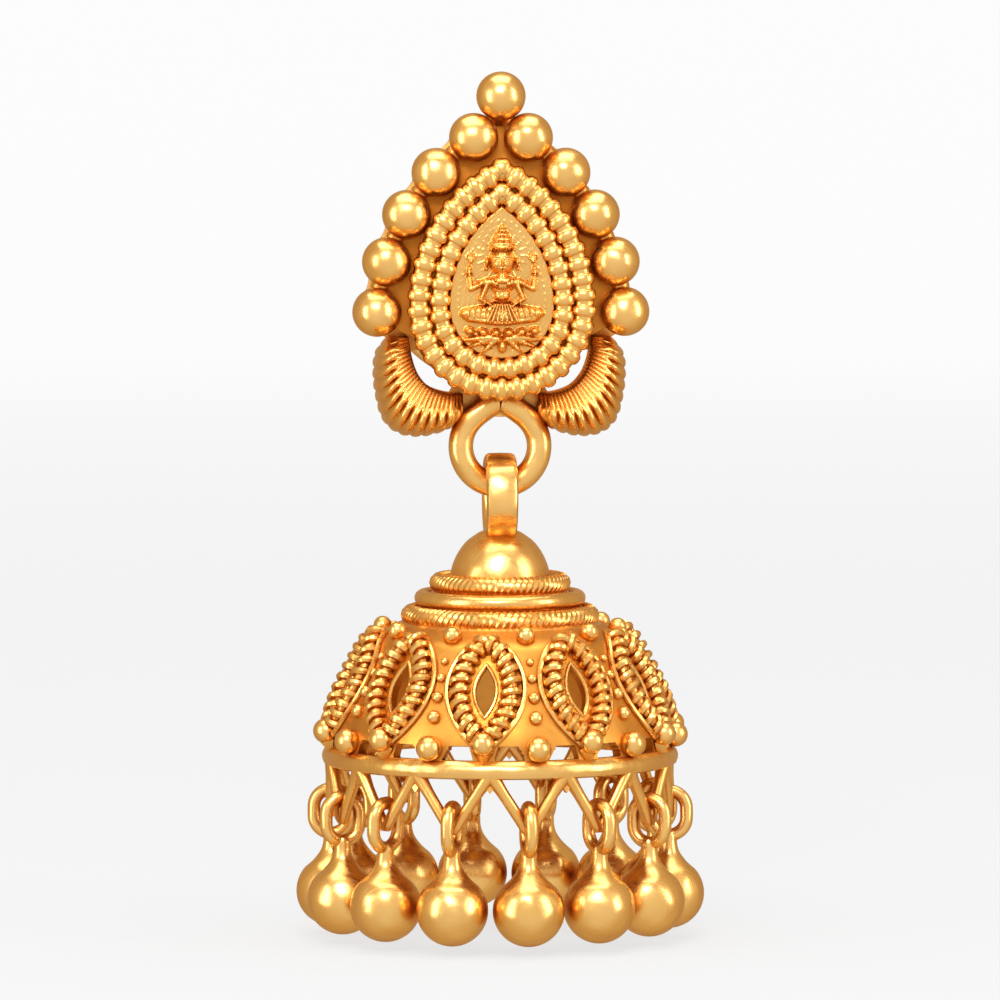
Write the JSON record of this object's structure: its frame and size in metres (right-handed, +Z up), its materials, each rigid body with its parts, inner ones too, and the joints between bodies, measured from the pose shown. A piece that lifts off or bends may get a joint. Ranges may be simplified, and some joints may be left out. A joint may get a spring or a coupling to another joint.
{
  "type": "jhumka earring",
  "caption": "Gold jhumka earring: teardrop stud with a seated relief figure and a screw post, and a pierced bell with ball drops that swings from the stud's ring.",
  "frame": {"origin": "on the screw post's axis, at the back face of the stud's plate, where it sits on the ear lobe", "axes": "+Z up, -Y the way the earring's front faces, +Y along the post towards the nut"},
  "size_m": [0.015, 0.0207, 0.0319],
  "materials": {
    "gold_stud": "satin yellow gold",
    "gold_nut": "polished yellow gold",
    "gold_bell": "satin yellow gold",
    "gold_drop": "burnished yellow gold"
  },
  "bodies": {
    "stud": {"stud": "gold_stud"},
    "nut": {"screw_nut": "gold_nut"},
    "bell": {"bell": "gold_bell", "drop_01": "gold_drop", "drop_02": "gold_drop", "drop_03": "gold_drop", "drop_04": "gold_drop", "drop_05": "gold_drop", "drop_06": "gold_drop", "drop_07": "gold_drop", "drop_08": "gold_drop", "drop_09": "gold_drop", "drop_10": "gold_drop", "drop_11": "gold_drop", "drop_12": "gold_drop", "drop_13": "gold_drop", "drop_14": "gold_drop"}
  },
  "joints": [
    {"name": "bell_swing", "type": "hinge", "parent": "stud", "child": "bell", "pos_m": [0, -0.00115, -0.0076], "axis": [1, 0, 0], "range_deg": [-60, 60]},
    {"name": "nut_travel", "type": "slide", "parent": "stud", "child": "nut", "axis": [0, 1, 0], "range_m": [-0.0012, 0.0075]}
  ]
}
